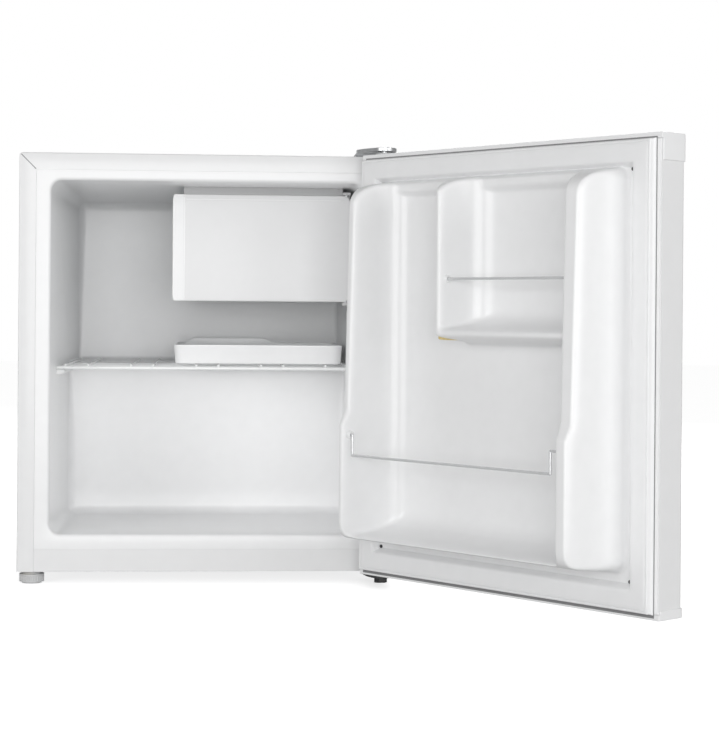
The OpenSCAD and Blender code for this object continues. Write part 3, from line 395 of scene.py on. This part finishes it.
def liner_profile():
    """Side view of the cavity from the mouth's top to its bottom: y, z, normal, corner radius."""
    slope = DRAFT / CAVITY_D
    top = [(LIP, MOUTH_HIGH - slope * LIP, 0.0, -1.0)]
    for y in (60, 140, 230, CAVITY_D - SIDE_R):
        top.append((y, MOUTH_HIGH - slope * y, -slope, -1.0))
    back_z = MOUTH_HIGH - slope * (CAVITY_D - SIDE_R)
    pts = [(*p, 14.0 - 1.5 * p[0] / CAVITY_D) for p in top]
    pts += [(*p, SIDE_R) for p in
            arc_points(CAVITY_D - SIDE_R, back_z - SIDE_R, SIDE_R, 82, 0, 7, -1)]
    low = HUMP_Z + LEDGE_R
    for k in range(1, 8):
        t = k / 8
        z = (back_z - SIDE_R) * (1 - t) + low * t
        pts.append((CAVITY_D, z, -1.0, 0.0, SIDE_R + (LEDGE_R - 0.5 - SIDE_R) * t))
    ledge = LEDGE_R - 0.5
    pts += [(*p, ledge) for p in
            arc_points(CAVITY_D - LEDGE_R, HUMP_Z + LEDGE_R, LEDGE_R, 0, -90, 6, -1)]
    pts += [(y, HUMP_Z, 0.0, 1.0, ledge) for y in (310, 275, 250)]
    pts += [(*p, ledge) for p in
            arc_points(HUMP_Y + EDGE_R, HUMP_Z - EDGE_R, EDGE_R, 90, 180, 8, 1)]
    face_low = MOUTH_LOW + SIDE_R
    for k in range(1, 8):
        t = k / 8
        z = (HUMP_Z - EDGE_R) * (1 - t) + face_low * t
        pts.append((HUMP_Y, z, -1.0, 0.0, ledge + (SIDE_R - 0.5 - ledge) * min(1, 2 * t)))
    pts += [(*p, SIDE_R - 0.5) for p in
            arc_points(HUMP_Y - SIDE_R, MOUTH_LOW + SIDE_R, SIDE_R, 0, -90, 7, -1)]
    pts += [(y, MOUTH_LOW, 0.0, 1.0, 14.0 - 2.0 * y / HUMP_Y) for y in (150, 80)]
    pts.append((LIP, MOUTH_LOW, 0.0, 1.0, 14.0))
    return pts


def make_liner():
    """The moulded cavity, from its closed ends over the mouth's lip to the flange."""
    profile = liner_profile()
    steps = 8
    turns = [math.pi / 2 * (1 - k / steps) for k in range(steps + 1)]
    loops = [(-1, t) for t in turns] + [(1, t) for t in reversed(turns)]
    rings = []
    for side, t in loops:
        ring = []
        for y, z, ny, nz, r in profile:
            inset = r * (1 - math.cos(t))
            py, pz = y + ny * inset, z + nz * inset
            if py < LIP:
                py = LIP
            ring.append((side * (wall_x(py) - r + r * math.sin(t)), py, pz))
        rings.append(ring)
    points, faces = bridge(rings, closed=False, caps=False)
    m, n = len(profile), len(rings)
    faces.append(tuple(range(m)))
    faces.append(tuple((n - 1) * m + j for j in range(m))[::-1])
    # the mouth's ring, out over the lip to the flange
    ring = [(i * m, side, t, 1) for i, (side, t) in enumerate(loops)]
    ring += [(i * m + m - 1, side, t, -1) for i, (side, t) in reversed(list(enumerate(loops)))]
    last = [i for i, *_ in ring]
    for k in range(1, 6):
        a = math.pi / 2 * k / 5
        new = []
        for i, side, t, up in ring:
            x, y, z = points[i]
            out = LIP * (1 - math.cos(a))
            new.append(len(points))
            points.append((x + side * math.sin(t) * out, LIP * (1 - math.sin(a)),
                           z + up * math.cos(t) * out))
        faces += [(last[k2], last[(k2 + 1) % len(last)], new[(k2 + 1) % len(last)], new[k2])
                  for k2 in range(len(last))]
        last = new
    fx, fz0, fz1 = HALF_W - FLANGE_W - SEAM_W, RAIL_TOP + SEAM_W, TOP_Z - FLANGE_W - SEAM_W
    for depth in (0.0, 0.6):
        new = []
        for j, (_, side, t, up) in enumerate(ring):
            new.append(len(points))
            if depth == 0.0:
                rx = side * (MOUTH_HALF - 14.0)
                rz = (MOUTH_HIGH - 14.0) if up > 0 else (MOUTH_LOW + 14.0)
                gx, gz = fx - abs(rx), abs((fz1 if up > 0 else fz0) - rz)
                dx, dz = math.sin(t), math.cos(t)
                if abs(t - math.pi / 4) < 0.01:
                    sx, sz = gx, gz
                elif dx / gx > dz / gz:
                    sx, sz = gx, gx * dz / dx
                else:
                    sx, sz = gz * dx / dz, gz
                points.append((rx + side * sx, 0.0, rz + up * sz))
            else:
                px, _, pz = points[last[j]]
                points.append((px + side * 0.15, depth, pz))
        faces += [(last[k2], last[(k2 + 1) % len(last)], new[(k2 + 1) % len(last)], new[k2])
                  for k2 in range(len(last))]
        last = new
    obj = add_piece("cabinet_liner", points, faces, "liner_plastic", "cabinet", ("inner_liner",), 40.0)
    thick = obj.modifiers.new("sheet", "SOLIDIFY")
    thick.thickness = 1.2 * MM
    thick.offset = -1.0


def make_shelf_ledges():
    """Moulded ledges on the side walls that carry the shelf."""
    rib_x, z1, h = MOUTH_HALF - 12.0, HUMP_Z - 3.7, 6.0
    y0, y1 = 72.0, HUMP_Y + 1.0
    points, faces = [], []
    for side in (-1, 1):
        rings = []
        for y, fade in ((y0, 0.25), (y0 + 1.5, 0.7), (y0 + 4, 1.0), (y1, 1.0)):
            out = wall_x(y) + 0.8
            inner = out - (out - rib_x) * fade
            rings.append([(side * out, y, z1 - h), (side * (inner + 2.2), y, z1 - h),
                          (side * (inner + 0.6), y, z1 - h + 1.2), (side * inner, y, z1 - h + 3),
                          (side * inner, y, z1 - 1.4), (side * (inner + 0.4), y, z1 - 0.4),
                          (side * (inner + 1.4), y, z1), (side * out, y, z1)])
        p, f = bridge(rings)
        base = len(points)
        points += p
        faces += [tuple(base + i for i in g) for g in f]
    add_piece("shelf_ledges", points, faces, "liner_plastic", "cabinet", (), 45.0)


# ---- door liner: a vacuum-formed sheet, as heights over the door's plane ----

def blur(field, sigma, spacing):
    """Softens a height field as a hot sheet drawn over a mould softens its corners."""
    half = int(3 * sigma / spacing) + 1
    x = np.arange(-half, half + 1) * spacing
    kernel = np.exp(-x * x / (2 * sigma * sigma))
    kernel /= kernel.sum()
    for axis in (0, 1):
        pad = [(0, 0), (0, 0)]
        pad[axis] = (half, half)
        field = np.pad(field, pad, mode="edge")
        field = np.apply_along_axis(lambda v: np.convolve(v, kernel, mode="valid"), axis, field)
    return field


# u runs across the door from its hinge edge, z up from its bottom, heights out from its plane
DYKE_U0, DYKE_U1 = 40.0, 400.0
DYKE_Z0, DYKE_Z1 = 45.0, 455.0
RECESS = 8.0
POCKET_Z = 288.0
POCKET_U = 189.0


def side_height(z):
    """Height of the dykes up the door: low and full below the step, slimmer and sloped above."""
    hs, zs = [-2.0], [DYKE_Z0]
    for k in range(5):
        a = math.radians(-80 + 20 * k)
        hs.append(62 + 18 * math.cos(a))
        zs.append(DYKE_Z0 + 23 + 18 * math.sin(a))
    hs += [80.0, 72.0]
    zs += [180.0, 196.0]
    for k in range(13):
        a = math.radians(7.5 * k)
        hs.append(12 + 54 * math.cos(a))
        zs.append(DYKE_Z1 - 28 + 26 * math.sin(a))
    hs.append(-2.0)
    zs.append(DYKE_Z1)
    return np.interp(z, zs, hs, left=-2.0, right=-2.0)


def edge_distance(u, z, low, high, r):
    """How far each point lies inside a rectangle with rounded corners."""
    cu, cz = (low[0] + high[0]) / 2, (low[1] + high[1]) / 2
    qu = np.abs(u - cu) - (high[0] - low[0]) / 2 + r
    qz = np.abs(z - cz) - (high[1] - low[1]) / 2 + r
    return r - np.hypot(np.maximum(qu, 0), np.maximum(qz, 0)) - np.minimum(np.maximum(qu, qz), 0)


def door_heights(u, z):
    """Height of the formed sheet over each point of the door's inner plane."""
    far = -50.0
    hinge = np.interp(u, [40, 48, 57], [-2, 81, 81], left=far)
    hinge = np.where(u > 57, 8 + 73 * np.exp((57 - u) / 9.0), hinge)
    free = np.interp(u, [355.9, 356, 363, 367, 372, 388, 400], [far, 8, 12, 50, 81, 81, -2],
                     right=far)
    # the upper pocket: a wall on the left and a floor, which meet in a rounded corner
    wall = np.interp(u, [167.9, 168, 181, 189], [far, 8, 61, 61], left=far)
    wall = np.where(u > 189, 8 + 53 * np.exp((189 - u) / 11.0), wall)
    floor = np.interp(z, [272.9, 273, 277, 288], [far, 30, 60, 60], left=far)
    floor = np.where(z > 288, 8 + 52 * np.exp((288 - z) / 5.0), floor)
    floor = np.where((u > POCKET_U - 8) & (u < 377), floor, far)
    corner = edge_distance(u, z, (POCKET_U - 21, POCKET_Z - 15), (600.0, 700.0), 20.0)
    pocket = np.where(corner > 0, np.minimum(np.maximum(wall, floor), 8 + 9.0 * corner), far)
    bowl = np.hypot(np.minimum(u - POCKET_U - 20, 0), np.minimum(z - POCKET_Z - 20, 0)) - 20
    fillet = np.where((u > POCKET_U - 2) & (z > POCKET_Z - 2), np.clip(7 * bowl, 0, 52), far)
    pocket = np.maximum(pocket, fillet)
    bin_floor = np.interp(z, [56.9, 57], [81, 40], right=far)
    bin_floor = np.where(z > 57, 8 + 40 * np.exp((57 - z) / 7.0), bin_floor)
    bin_floor = np.where((u > 50) & (u < 377), bin_floor, far)
    rim = np.interp(z, [435.9, 436, 442, 455], [far, 8, 17, 17], left=far)
    top = np.maximum.reduce([hinge, free, pocket, bin_floor, rim, np.full_like(u, RECESS)])
    # outer walls fall away round a rectangle with rounded corners
    inside = edge_distance(u, z, (DYKE_U0, DYKE_Z0), (DYKE_U1, DYKE_Z1), 16.0)
    height = np.minimum(np.minimum(side_height(z), top), -2.0 + np.maximum(inside, 0) * 26)
    return np.maximum(height, 0.0)


def grid_lines(bands, low, high, fine, coarse):
    """Line positions, close together inside the bands and far apart between them."""
    out, x = [], low
    while x < high - 1e-6:
        out.append(x)
        near = any(a <= x < b for a, b in bands)
        step = fine if near else coarse
        for a, b in bands:
            if not near and x < a < x + step:
                step = a - x
        x += step
    out.append(high)
    return np.array(out)


def make_door_liner():
    """The height field as a mesh, finer where the sheet bends."""
    spacing = 1.0
    us = np.arange(24.0, 417.0, spacing)
    zs = np.arange(24.0, 465.0, spacing)
    uu, zz = np.meshgrid(us, zs, indexing="ij")
    field = blur(door_heights(uu, zz), 1.7, spacing)
    gu = grid_lines([(36, 64), (164, 196), (350, 404)], 26.0, 414.0, 1.1, 2.6)
    gz = grid_lines([(41, 66), (176, 202), (268, 294), (424, 459)], 26.0, 462.0, 1.1, 3.4)
    fu, fz = np.interp(gu, us, np.arange(len(us))), np.interp(gz, zs, np.arange(len(zs)))
    iu = np.clip(fu.astype(int), 0, len(us) - 2)
    iz = np.clip(fz.astype(int), 0, len(zs) - 2)
    tu, tz = (fu - iu)[:, None], (fz - iz)[None, :]
    f00, f10 = field[np.ix_(iu, iz)], field[np.ix_(iu + 1, iz)]
    f01, f11 = field[np.ix_(iu, iz + 1)], field[np.ix_(iu + 1, iz + 1)]
    height = (f00 * (1 - tu) + f10 * tu) * (1 - tz) + (f01 * (1 - tu) + f11 * tu) * tz
    a, b = len(gu), len(gz)
    points = [(gu[i], float(height[i, j]), gz[j]) for i in range(a) for j in range(b)]
    faces = [(i * b + j, i * b + j + 1, (i + 1) * b + j + 1, (i + 1) * b + j)
             for i in range(a - 1) for j in range(b - 1)]
    # the flat sheet goes on under the gasket to the door's edges, then turns down
    ring = [i * b for i in range(a)] + [(a - 1) * b + j for j in range(1, b)]
    ring += [i * b + b - 1 for i in range(a - 2, -1, -1)] + [j for j in range(b - 2, 0, -1)]
    for h in (0.0, -1.8):
        base = len(points)
        for i in ring:
            u, _, z = points[i]
            u = 0.6 if u <= gu[0] else DOOR_W - 0.6 if u >= gu[-1] else u
            z = 6.6 if z <= gz[0] else DOOR_H - 6.6 if z >= gz[-1] else z
            points.append((u, h, z))
        new = list(range(base, base + len(ring)))
        k = len(ring)
        faces += [(ring[q], new[q], new[(q + 1) % k], ring[(q + 1) % k]) for q in range(k)]
        ring = new
    faces.append(tuple(ring))
    add_piece("door_liner_sheet", points, faces, "liner_plastic", "door", ("door_liner",), 60.0,
              place=in_door)


# ---- gasket ----

GASKET_PROFILE = [
    (34.0, 0.1), (33.9, 0.5), (33.2, 1.4), (31.6, 4.0), (30.2, 7.0), (29.0, 8.8), (27.4, 9.5),
    (24.0, 9.65), (14.0, 9.65), (10.4, 9.5), (9.7, 9.2), (9.5, 8.6), (9.2, 9.2), (8.4, 9.4),
    (7.4, 9.2), (6.9, 8.3), (7.1, 6.0), (6.6, 3.4), (6.0, 2.4), (5.6, 1.2), (5.7, 0.1)]


def make_gasket():
    """The gasket's section swept round the door, a strip of painted shadow in the gap outside it, and
    four small black domes at its inner corners.
    """
    rings = []
    for e, h in GASKET_PROFILE:
        ring = []
        corners = [(e, e), (DOOR_W - e, e), (DOOR_W - e, DOOR_H - e), (e, DOOR_H - e)]
        for k in range(4):
            (u0, z0), (u1, z1) = corners[k], corners[(k + 1) % 4]
            for t in (0.0, 0.02, 0.25, 0.5, 0.75, 0.98):
                ring.append((u0 + (u1 - u0) * t, h, z0 + (z1 - z0) * t))
        rings.append(ring)
    points, faces = bridge(rings, caps=False)
    n, last = len(rings[0]), len(rings) - 1
    faces += [(last * n + k, last * n + (k + 1) % n, (k + 1) % n, k) for k in range(n)]
    add_piece("gasket_profile", points, faces, "gasket_vinyl", "door", ("door_gasket",), 50.0,
              place=in_door)
    # a dark strip painted as the shadow in the gap outside the gasket, and four small black domes at
    # its inner corners
    points, faces = [], []
    for h in (0.12, 0.5):
        for side, low, high in ((4.9, 2.4, 4.2), (6.4, 6.4, 6.4)):
            points += [(side, h, low), (DOOR_W - side, h, low),
                       (DOOR_W - side, h, DOOR_H - high), (side, h, DOOR_H - high)]
    for k in range(4):
        m = (k + 1) % 4
        faces += [(k, m, 4 + m, 4 + k), (8 + k, 12 + k, 12 + m, 8 + m), (k, 8 + k, 8 + m, m),
                  (4 + k, 4 + m, 12 + m, 12 + k)]
    add_piece("gasket_gap_shadow", points, faces, "gasket_vinyl", "door", place=in_door, mat=GASKET_GAP_SHADOW)
    points, faces = [], []
    e = 35.6
    for u in (e, DOOR_W - e):
        for z in (e, DOOR_H - e):
            rings = [[(u + r * math.cos(a), h, z + r * math.sin(a))
                      for a in [2 * math.pi * k / 20 for k in range(20)]]
                     for r, h in ((1.9, 0.05), (1.9, 1.0), (1.5, 1.5), (0.7, 1.7))]
            p, f = bridge(rings)
            faces += [tuple(len(points) + i for i in g) for g in f]
            points += p
    add_piece("gasket_corner_dots", points, faces, "black_plastic", "door", (), 40.0, place=in_door)


def make_rail_bosses():
    """The small moulded cups that the door's two wires end in."""
    points, faces = [], []
    for u, h, z in ((191.5, 51.0, 342.0), (60.2, 71.0, 168.0)):
        rings = []
        for r, du in ((4.6, -2.5), (4.4, 0.0), (3.8, 1.0), (2.9, 1.4), (2.2, 1.2), (1.9, 0.2)):
            rings.append([(u + du, h + r * math.cos(a), z + r * math.sin(a))
                          for a in [2 * math.pi * k / 24 for k in range(24)]])
        p, f = bridge(rings)
        faces += [tuple(len(points) + i for i in g) for g in f]
        points += p
    add_piece("rail_bosses", points, faces, "liner_plastic", "door", (), 40.0, place=in_door)


# ---- ice box flap, tray ----

def make_flap():
    """A plain panel with a rounded edge, whose left side runs out into a thin lip to pull it by."""
    (x0, y0, z0), (x1, y1, z1) = cad_box("freezer_flap")
    face, grip = y0 + 0.5, 14.0
    # the lip's corners are squarer than the hinge side's
    lip = [(x if x > x0 + 20 else x0 + (x - x0) * 0.3, z, nx, nz)
           for x, z, nx, nz in rounded_rect(x0 + 0.2, z0, x1 - 0.1, z1, 9.0, 10)]
    points, faces = bridge(slab(lip, face, face + 3.0, 1.4))
    back = slab(rounded_rect(x0 + grip, z0 + 0.1, x1 - 0.2, z1 - 0.1, 9.0, 10), face + 1.5,
                y1 - 0.1, 1.6)
    p, f = bridge(back)
    faces += [tuple(len(points) + i for i in g) for g in f]
    points += p
    add_piece("ice_box_flap", points, faces, "white_plastic", "flap", ("freezer_flap",), 40.0,
              mat=FLAP)
    # the bead where the lip begins, and a fine line under the upper edge
    for name, low, high in (("flap_bead", (x0 + grip, z0 + 4), (x0 + grip + 0.7, z1 - 4)),
                            ("flap_line", (x0 + grip + 2, z1 - 6.4), (x1 - 12, z1 - 5.9))):
        ring = slab(rounded_rect(*low, *high, 0.2, 2), y0 + 0.25, y0 + 1.0, 0.2, 2)
        add_piece(name, *bridge(ring), "white_plastic", "flap", (), 40.0)


def make_tray():
    """An open tray with a rolled rim, which rises along part of its back edge."""
    (x0, y0, z0), (x1, y1, _) = cad_box("drip_tray")
    raise_to = x0 + (x1 - x0) * 0.6

    def outline(inset, r):
        pts = []
        base = rounded_rect(x0 + inset, y0 + inset, x1 - inset, y1 - inset, max(2.0, r - inset), 8)
        for k, (x, y, *_) in enumerate(base):
            pts.append((x, y))
            x_next, y_next = base[(k + 1) % len(base)][:2]
            if math.hypot(x_next - x, y_next - y) > 30:
                pts += [(x + (x_next - x) * q / 24, y + (y_next - y) * q / 24)
                        for q in range(1, 24)]
        return pts

    def lift(x, y, amount):
        if y < y1 - 10:
            return 0.0
        ramp = min(max((raise_to - x) / 8.0, 0), 1) * min(max((x - x0 - 12) / 8.0, 0), 1)
        return amount * ramp * ramp * (3 - 2 * ramp) * min(1, (y - (y1 - 10)) / 4)

    steps = [(5.0, 0.0, 0), (2.5, 0.5, 0), (1.6, 2.2, 0), (0.3, 21.6, 0.9), (0.0, 21.9, 1),
             (0.0, 22.7, 1), (0.3, 23.0, 1), (1.6, 23.0, 1), (2.0, 22.6, 1), (2.2, 21.5, 0.9),
             (3.4, 5.0, 0), (4.6, 3.0, 0), (6.6, 2.1, 0), (10.0, 2.0, 0)]
    rings = []
    for inset, dz, raised in steps:
        rings.append([(x, y, z0 + dz + lift(x, y, 6.0 * raised)) for x, y in outline(inset, 14.0)])
    points, faces = bridge(rings)
    add_piece("drip_tray_moulding", points, faces, "liner_plastic", "tray", ("drip_tray",), 45.0)


# ---- camera, light and floor ----

def make_camera():
    """The photograph's view: low, nearly square on, and shifted so that upright lines stay upright."""
    cam = bpy.data.cameras.new("camera")
    obj = bpy.data.objects.new("camera", cam)
    bpy.context.scene.collection.objects.link(obj)
    cam.lens = 91.2
    cam.sensor_width = 36.0
    cam.shift_y = -0.0886667
    yaw, roll = math.radians(4.26), math.radians(0.44)
    ahead = Vector((math.sin(yaw), math.cos(yaw), 0))
    right = Vector((math.cos(yaw), -math.sin(yaw), 0))
    up = Vector((0, 0, 1))
    r2 = right * math.cos(roll) + up * math.sin(roll)
    u2 = up * math.cos(roll) - right * math.sin(roll)
    rot = Matrix((r2, u2, -ahead)).transposed()
    obj.matrix_world = Matrix.Translation(MIDDLE * MM + Vector((0.0123, -2.240, 0.3254))) @ rot.to_4x4()
    cam.clip_start, cam.clip_end = 0.05, 50.0
    bpy.context.scene.camera = obj


def area_light(name, location, target, size, power, color=(1, 1, 1)):
    light = bpy.data.lights.new(name, "AREA")
    light.shape = "RECTANGLE"
    light.size, light.size_y = size
    light.energy = power
    light.color = color
    obj = bpy.data.objects.new(name, light)
    bpy.context.scene.collection.objects.link(obj)
    obj.location = MIDDLE * MM + Vector(location)
    aim = Vector(target) - Vector(location)
    obj.rotation_euler = aim.to_track_quat("-Z", "Y").to_euler()
    return obj


def make_world(ambient):
    """White where the camera looks past the object, and a dimmer white that lights it."""
    world = bpy.data.worlds.new("studio")
    world.use_nodes = True
    tree = world.node_tree
    seen = tree.nodes["Background"]
    seen.inputs["Color"].default_value = (1, 1, 1, 1)
    seen.inputs["Strength"].default_value = 1.0
    lit = tree.nodes.new("ShaderNodeBackground")
    lit.inputs["Color"].default_value = (1, 1, 1, 1)
    lit.inputs["Strength"].default_value = ambient
    path = tree.nodes.new("ShaderNodeLightPath")
    mix = tree.nodes.new("ShaderNodeMixShader")
    tree.links.new(path.outputs["Is Camera Ray"], mix.inputs["Fac"])
    tree.links.new(lit.outputs["Background"], mix.inputs[1])
    tree.links.new(seen.outputs["Background"], mix.inputs[2])
    tree.links.new(mix.outputs["Shader"], tree.nodes["World Output"].inputs["Surface"])
    bpy.context.scene.world = world


def make_studio():
    """Four soft lights round the object, a card in the mouth and a pale floor."""
    scene = bpy.context.scene
    scene.view_settings.view_transform = "Standard"
    make_world(0.34)
    aim = (0, 0.1, 0.27)
    area_light("front", (0.1, -2.9, 0.4), aim, (1.6, 1.0), 24)
    area_light("left", (-2.0, -2.2, 0.6), aim, (1.6, 1.4), 27)
    area_light("right", (2.1, -2.2, 0.6), aim, (1.6, 1.4), 24)
    area_light("rear", (0.9, 2.6, 1.5), (0, 0.3, 0.25), (1.6, 1.2), 24)
    # a weak card in the mouth opens up the cavity's shadows
    card = area_light("card", (0, -0.004, 0.266), (0, 0.1, 0.266), (0.35, 0.38), 0.1)
    card.visible_camera = False
    card.visible_glossy = False
    mesh = bpy.data.meshes.new("floor")
    reach = 9.0
    mesh.from_pydata([(-reach, -reach, 0), (reach, -reach, 0), (reach, reach, 0),
                      (-reach, reach, 0)], [], [(0, 1, 2, 3)])
    floor = bpy.data.objects.new("floor", mesh)
    scene.collection.objects.link(floor)
    # seen by the camera, while the dimmer world lights the object from below
    floor.visible_diffuse = False
    floor.visible_glossy = False
    paper = surface("floor_paper", (0.93, 0.93, 0.93), 0.85, vary=0.01, grain=3.0, specular=0.2)
    bsdf = paper.node_tree.nodes["Principled BSDF"]
    bsdf.inputs["Emission Color"].default_value = (1, 1, 1, 1)
    bsdf.inputs["Emission Strength"].default_value = 0.66
    mesh.materials.append(paper)


# ---- build ----

for node, obj in NODES.items():
    obj.data.materials.clear()
    obj.data.materials.append(MATS[SLOT_OF[node]])

make_camera()
make_studio()
make_shell()
make_mitre_seams()
make_flange_seams()
make_liner()
make_shelf_ledges()
make_door_liner()
make_gasket()
make_rail_bosses()
make_flap()
make_tray()
# The frame behind the flap is drawn mid grey as painted shade of the narrow gap above the flap.
eased("freezer_frame", 0.9, mat=surface("frame_painted_shade", (0.50, 0.502, 0.506), 0.4, vary=0.02,
                                        bump=0.05, bump_scale=700.0))
for name, width in (("front_rail", 0.3), ("thermostat_housing", 1.6),
                    ("thermostat_knob", 0.6), ("door_top_cap", 0.7), ("door_bottom_cap", 0.7),
                    ("top_hinge", 0.5), ("bottom_hinge", 0.4), ("terminal_cover", 2.0)):
    eased(name, width)
